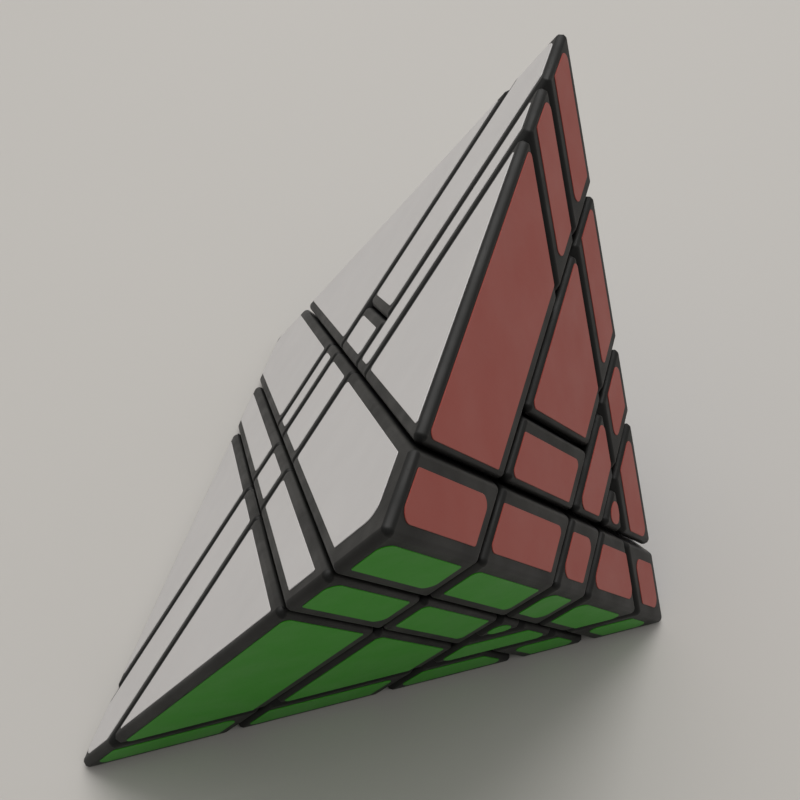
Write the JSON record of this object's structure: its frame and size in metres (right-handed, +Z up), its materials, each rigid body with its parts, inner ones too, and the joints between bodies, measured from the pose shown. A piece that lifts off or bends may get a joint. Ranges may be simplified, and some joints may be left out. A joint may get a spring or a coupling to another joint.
{
  "type": "pyramid twisty puzzle",
  "caption": "Square pyramid twisty puzzle: a hidden core with sprung, screwed centres carries edge and corner pieces that turn in layers, each face of the pyramid in its own colour.",
  "frame": {"origin": "middle of the bottom of the box round the puzzle, which lies on its south-west side face", "axes": "+X towards the apex along the resting face, +Y along the base edge that is off the ground, +Z up from the resting face"},
  "size_m": [0.0918, 0.1056, 0.0866],
  "materials": {
    "black_plastic": "satin",
    "core_plastic": "matt",
    "steel": "plain",
    "white_vinyl": "satin",
    "red_vinyl": "satin",
    "green_vinyl": "satin",
    "blue_vinyl": "satin",
    "orange_vinyl": "satin"
  },
  "bodies": {
    "core": {"core": "core_plastic", "screws": "steel", "springs": "steel", "washers": "steel"},
    "centre_east": {"centre_east": "black_plastic", "cap_east": "black_plastic"},
    "centre_west": {"centre_west": "black_plastic", "cap_west": "black_plastic"},
    "centre_north": {"centre_north": "black_plastic", "cap_north": "black_plastic"},
    "centre_south": {"centre_south": "black_plastic", "cap_south": "black_plastic"},
    "centre_apex": {"centre_apex": "black_plastic", "cap_apex": "black_plastic"},
    "centre_base": {"centre_base": "black_plastic", "cap_base": "black_plastic"},
    "edge_northeast": {"edge_northeast": "black_plastic", "edge_northeast_outer": "black_plastic"},
    "edge_northwest": {"edge_northwest": "black_plastic", "edge_northwest_outer": "black_plastic"},
    "edge_southeast": {"edge_southeast": "black_plastic"},
    "edge_southwest": {"edge_southwest": "black_plastic"},
    "edge_apex_east": {"edge_apex_east": "black_plastic", "edge_apex_east_outer": "black_plastic"},
    "edge_apex_west": {"edge_apex_west": "black_plastic", "edge_apex_west_outer": "black_plastic"},
    "edge_apex_north": {"edge_apex_north": "black_plastic", "edge_apex_north_outer": "black_plastic"},
    "edge_apex_south": {"edge_apex_south": "black_plastic"},
    "edge_base_east": {"edge_base_east": "black_plastic", "edge_base_east_outer": "black_plastic"},
    "edge_base_west": {"edge_base_west": "black_plastic", "edge_base_west_outer": "black_plastic"},
    "edge_base_north": {"edge_base_north": "black_plastic"},
    "edge_base_south": {"edge_base_south": "black_plastic", "edge_base_south_outer": "black_plastic"},
    "corner_apex_northeast": {"corner_apex_northeast": "black_plastic", "corner_apex_northeast_outer": "black_plastic"},
    "corner_apex_northwest": {"corner_apex_northwest": "black_plastic", "corner_apex_northwest_outer": "black_plastic"},
    "corner_apex_southeast": {"corner_apex_southeast": "black_plastic", "corner_apex_southeast_outer": "black_plastic"},
    "corner_apex_southwest": {"corner_apex_southwest": "black_plastic", "corner_apex_southwest_outer": "black_plastic"},
    "corner_base_northeast": {"corner_base_northeast": "black_plastic", "corner_base_northeast_outer": "black_plastic"},
    "corner_base_northwest": {"corner_base_northwest": "black_plastic", "corner_base_northwest_outer": "black_plastic"},
    "corner_base_southeast": {"corner_base_southeast": "black_plastic", "corner_base_southeast_outer": "black_plastic"},
    "corner_base_southwest": {"corner_base_southwest": "black_plastic", "corner_base_southwest_outer": "black_plastic"}
  },
  "joints": [
    {"name": "turn_east", "type": "hinge", "parent": "core", "child": "centre_east", "pos_m": [0.0075, 0, 0.02742], "axis": [0.4082, 0.7071, 0.5774], "continuous": true},
    {"name": "turn_west", "type": "hinge", "parent": "core", "child": "centre_west", "pos_m": [0.0075, 0, 0.02742], "axis": [0.4082, 0.7071, 0.5774], "continuous": true},
    {"name": "turn_north", "type": "hinge", "parent": "core", "child": "centre_north", "pos_m": [0.0075, 0, 0.02742], "axis": [0.4082, -0.7071, 0.5774], "continuous": true},
    {"name": "turn_south", "type": "hinge", "parent": "core", "child": "centre_south", "pos_m": [0.0075, 0, 0.02742], "axis": [0.4082, -0.7071, 0.5774], "continuous": true},
    {"name": "turn_apex", "type": "hinge", "parent": "core", "child": "centre_apex", "pos_m": [0.0075, 0, 0.02742], "axis": [0.8165, 0, -0.5774], "continuous": true},
    {"name": "turn_base", "type": "hinge", "parent": "core", "child": "centre_base", "pos_m": [0.0075, 0, 0.02742], "axis": [0.8165, 0, -0.5774], "continuous": true},
    {"name": "edge_northeast_with_north", "type": "hinge", "parent": "centre_east", "child": "edge_northeast", "pos_m": [0.0075, 0, 0.02742], "axis": [0.4082, -0.7071, 0.5774], "continuous": true},
    {"name": "edge_northwest_with_north", "type": "hinge", "parent": "centre_west", "child": "edge_northwest", "pos_m": [0.0075, 0, 0.02742], "axis": [0.4082, -0.7071, 0.5774], "continuous": true},
    {"name": "edge_southeast_with_south", "type": "hinge", "parent": "centre_east", "child": "edge_southeast", "pos_m": [0.0075, 0, 0.02742], "axis": [0.4082, -0.7071, 0.5774], "continuous": true},
    {"name": "edge_southwest_with_south", "type": "hinge", "parent": "centre_west", "child": "edge_southwest", "pos_m": [0.0075, 0, 0.02742], "axis": [0.4082, -0.7071, 0.5774], "continuous": true},
    {"name": "edge_apex_east_with_east", "type": "hinge", "parent": "centre_apex", "child": "edge_apex_east", "pos_m": [0.0075, 0, 0.02742], "axis": [0.4082, 0.7071, 0.5774], "continuous": true},
    {"name": "edge_apex_west_with_west", "type": "hinge", "parent": "centre_apex", "child": "edge_apex_west", "pos_m": [0.0075, 0, 0.02742], "axis": [0.4082, 0.7071, 0.5774], "continuous": true},
    {"name": "edge_apex_north_with_apex", "type": "hinge", "parent": "centre_north", "child": "edge_apex_north", "pos_m": [0.0075, 0, 0.02742], "axis": [0.8165, 0, -0.5774], "continuous": true},
    {"name": "edge_apex_south_with_apex", "type": "hinge", "parent": "centre_south", "child": "edge_apex_south", "pos_m": [0.0075, 0, 0.02742], "axis": [0.8165, 0, -0.5774], "continuous": true},
    {"name": "edge_base_east_with_east", "type": "hinge", "parent": "centre_base", "child": "edge_base_east", "pos_m": [0.0075, 0, 0.02742], "axis": [0.4082, 0.7071, 0.5774], "continuous": true},
    {"name": "edge_base_west_with_west", "type": "hinge", "parent": "centre_base", "child": "edge_base_west", "pos_m": [0.0075, 0, 0.02742], "axis": [0.4082, 0.7071, 0.5774], "continuous": true},
    {"name": "edge_base_north_with_base", "type": "hinge", "parent": "centre_north", "child": "edge_base_north", "pos_m": [0.0075, 0, 0.02742], "axis": [0.8165, 0, -0.5774], "continuous": true},
    {"name": "edge_base_south_with_base", "type": "hinge", "parent": "centre_south", "child": "edge_base_south", "pos_m": [0.0075, 0, 0.02742], "axis": [0.8165, 0, -0.5774], "continuous": true},
    {"name": "corner_apex_northeast_with_apex", "type": "hinge", "parent": "edge_northeast", "child": "corner_apex_northeast", "pos_m": [0.0075, 0, 0.02742], "axis": [0.8165, 0, -0.5774], "continuous": true},
    {"name": "corner_apex_northwest_with_apex", "type": "hinge", "parent": "edge_northwest", "child": "corner_apex_northwest", "pos_m": [0.0075, 0, 0.02742], "axis": [0.8165, 0, -0.5774], "continuous": true},
    {"name": "corner_apex_southeast_with_apex", "type": "hinge", "parent": "edge_southeast", "child": "corner_apex_southeast", "pos_m": [0.0075, 0, 0.02742], "axis": [0.8165, 0, -0.5774], "continuous": true},
    {"name": "corner_apex_southwest_with_apex", "type": "hinge", "parent": "edge_southwest", "child": "corner_apex_southwest", "pos_m": [0.0075, 0, 0.02742], "axis": [0.8165, 0, -0.5774], "continuous": true},
    {"name": "corner_base_northeast_with_base", "type": "hinge", "parent": "edge_northeast", "child": "corner_base_northeast", "pos_m": [0.0075, 0, 0.02742], "axis": [0.8165, 0, -0.5774], "continuous": true},
    {"name": "corner_base_northwest_with_base", "type": "hinge", "parent": "edge_northwest", "child": "corner_base_northwest", "pos_m": [0.0075, 0, 0.02742], "axis": [0.8165, 0, -0.5774], "continuous": true},
    {"name": "corner_base_southeast_with_base", "type": "hinge", "parent": "edge_southeast", "child": "corner_base_southeast", "pos_m": [0.0075, 0, 0.02742], "axis": [0.8165, 0, -0.5774], "continuous": true},
    {"name": "corner_base_southwest_with_base", "type": "hinge", "parent": "edge_southwest", "child": "corner_base_southwest", "pos_m": [0.0075, 0, 0.02742], "axis": [0.8165, 0, -0.5774], "continuous": true}
  ],
  "couplings": [
    {"joint": "edge_northeast_with_north", "follows": "turn_north", "ratio": 1},
    {"joint": "edge_northwest_with_north", "follows": "turn_north", "ratio": 1},
    {"joint": "edge_southeast_with_south", "follows": "turn_south", "ratio": 1},
    {"joint": "edge_southwest_with_south", "follows": "turn_south", "ratio": 1},
    {"joint": "edge_apex_east_with_east", "follows": "turn_east", "ratio": 1},
    {"joint": "edge_apex_west_with_west", "follows": "turn_west", "ratio": 1},
    {"joint": "edge_apex_north_with_apex", "follows": "turn_apex", "ratio": 1},
    {"joint": "edge_apex_south_with_apex", "follows": "turn_apex", "ratio": 1},
    {"joint": "edge_base_east_with_east", "follows": "turn_east", "ratio": 1},
    {"joint": "edge_base_west_with_west", "follows": "turn_west", "ratio": 1},
    {"joint": "edge_base_north_with_base", "follows": "turn_base", "ratio": 1},
    {"joint": "edge_base_south_with_base", "follows": "turn_base", "ratio": 1},
    {"joint": "corner_apex_northeast_with_apex", "follows": "turn_apex", "ratio": 1},
    {"joint": "corner_apex_northwest_with_apex", "follows": "turn_apex", "ratio": 1},
    {"joint": "corner_apex_southeast_with_apex", "follows": "turn_apex", "ratio": 1},
    {"joint": "corner_apex_southwest_with_apex", "follows": "turn_apex", "ratio": 1},
    {"joint": "corner_base_northeast_with_base", "follows": "turn_base", "ratio": 1},
    {"joint": "corner_base_northwest_with_base", "follows": "turn_base", "ratio": 1},
    {"joint": "corner_base_southeast_with_base", "follows": "turn_base", "ratio": 1},
    {"joint": "corner_base_southwest_with_base", "follows": "turn_base", "ratio": 1}
  ]
}
